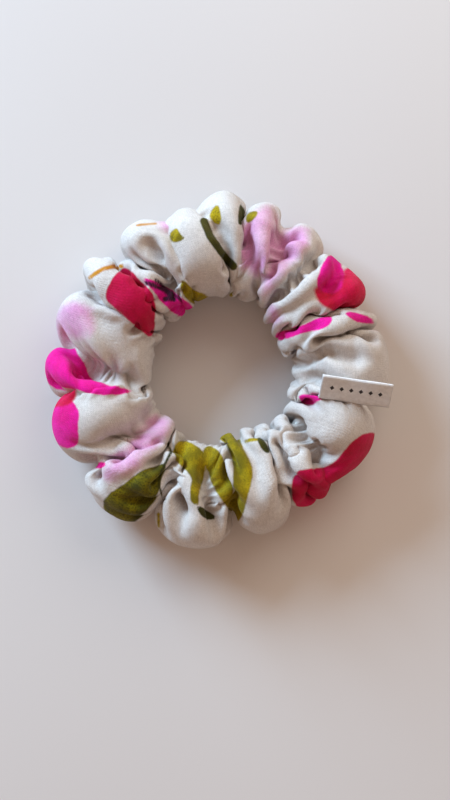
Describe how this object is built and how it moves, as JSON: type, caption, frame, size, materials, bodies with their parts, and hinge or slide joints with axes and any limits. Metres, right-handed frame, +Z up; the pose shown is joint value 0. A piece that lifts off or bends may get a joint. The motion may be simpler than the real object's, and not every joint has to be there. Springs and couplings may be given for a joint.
{
  "type": "scrunchie",
  "caption": "Gathered cloth hair tie: a printed fabric sleeve bunched on a loop of flat elastic, with a small folded ribbon label in its seam.",
  "frame": {"origin": "centre of the ring, on the surface that it lies on", "axes": "+Z up through the hole, +X towards the side with the end seam and the label"},
  "size_m": [0.1084, 0.1102, 0.0335],
  "materials": {
    "print_cloth": "matt woven viscose with a painterly floral print",
    "elastic": "flat knitted elastic",
    "thread": "spun polyester sewing thread",
    "label_ribbon": "white woven ribbon"
  },
  "bodies": {
    "left_end": {"sleeve_gather_09": "print_cloth", "sleeve_gather_10": "print_cloth", "sleeve_gather_11": "print_cloth", "elastic_band": "elastic", "elastic_join_stitches": "thread", "long_seam_stitches": "thread"},
    "right_end": {"sleeve_gather_16": "print_cloth", "sleeve_gather_01": "print_cloth", "sleeve_gather_02": "print_cloth", "sleeve_gather_03": "print_cloth", "end_seam_stitches": "thread", "label_root": "label_ribbon"},
    "label": {"label_tab": "label_ribbon"},
    "gather_04": {"sleeve_gather_04": "print_cloth"},
    "gather_05": {"sleeve_gather_05": "print_cloth"},
    "gather_06": {"sleeve_gather_06": "print_cloth"},
    "gather_07": {"sleeve_gather_07": "print_cloth"},
    "gather_08": {"sleeve_gather_08": "print_cloth"},
    "gather_12": {"sleeve_gather_12": "print_cloth"},
    "gather_13": {"sleeve_gather_13": "print_cloth"},
    "gather_14": {"sleeve_gather_14": "print_cloth"},
    "gather_15": {"sleeve_gather_15": "print_cloth"}
  },
  "joints": [
    {"name": "stretch", "type": "slide", "parent": "left_end", "child": "right_end", "axis": [1, 0, 0], "range_m": [0, 0.09], "stiffness_N_per_m": 40, "deforming": ["elastic_band", "long_seam_stitches"]},
    {"name": "spread_04", "type": "slide", "parent": "left_end", "child": "gather_04", "axis": [1, 0, 0], "range_m": [0, 0.0849]},
    {"name": "spread_05", "type": "slide", "parent": "left_end", "child": "gather_05", "axis": [1, 0, 0], "range_m": [0, 0.0716]},
    {"name": "spread_06", "type": "slide", "parent": "left_end", "child": "gather_06", "axis": [1, 0, 0], "range_m": [0, 0.0424]},
    {"name": "spread_07", "type": "slide", "parent": "left_end", "child": "gather_07", "axis": [1, 0, 0], "range_m": [0, 0.0133]},
    {"name": "spread_08", "type": "slide", "parent": "left_end", "child": "gather_08", "axis": [1, 0, 0], "range_m": [0, 0.0025]},
    {"name": "spread_12", "type": "slide", "parent": "left_end", "child": "gather_12", "axis": [1, 0, 0], "range_m": [0, 0.0094]},
    {"name": "spread_13", "type": "slide", "parent": "left_end", "child": "gather_13", "axis": [1, 0, 0], "range_m": [0, 0.039]},
    {"name": "spread_14", "type": "slide", "parent": "left_end", "child": "gather_14", "axis": [1, 0, 0], "range_m": [0, 0.0721]},
    {"name": "spread_15", "type": "slide", "parent": "left_end", "child": "gather_15", "axis": [1, 0, 0], "range_m": [0, 0.0888]},
    {"name": "label_flap", "type": "hinge", "parent": "right_end", "child": "label", "pos_m": [0.03125, -0.00913, 0.0273], "axis": [0.9903, -0.1392, 0], "range_deg": [-20, 100], "stiffness_Nm_per_rad": 0.0002}
  ],
  "couplings": [
    {"joint": "spread_04", "follows": "stretch", "ratio": 0.938},
    {"joint": "spread_05", "follows": "stretch", "ratio": 0.79},
    {"joint": "spread_06", "follows": "stretch", "ratio": 0.466},
    {"joint": "spread_07", "follows": "stretch", "ratio": 0.142},
    {"joint": "spread_08", "follows": "stretch", "ratio": 0.022},
    {"joint": "spread_12", "follows": "stretch", "ratio": 0.099},
    {"joint": "spread_13", "follows": "stretch", "ratio": 0.428},
    {"joint": "spread_14", "follows": "stretch", "ratio": 0.796},
    {"joint": "spread_15", "follows": "stretch", "ratio": 0.981}
  ]
}
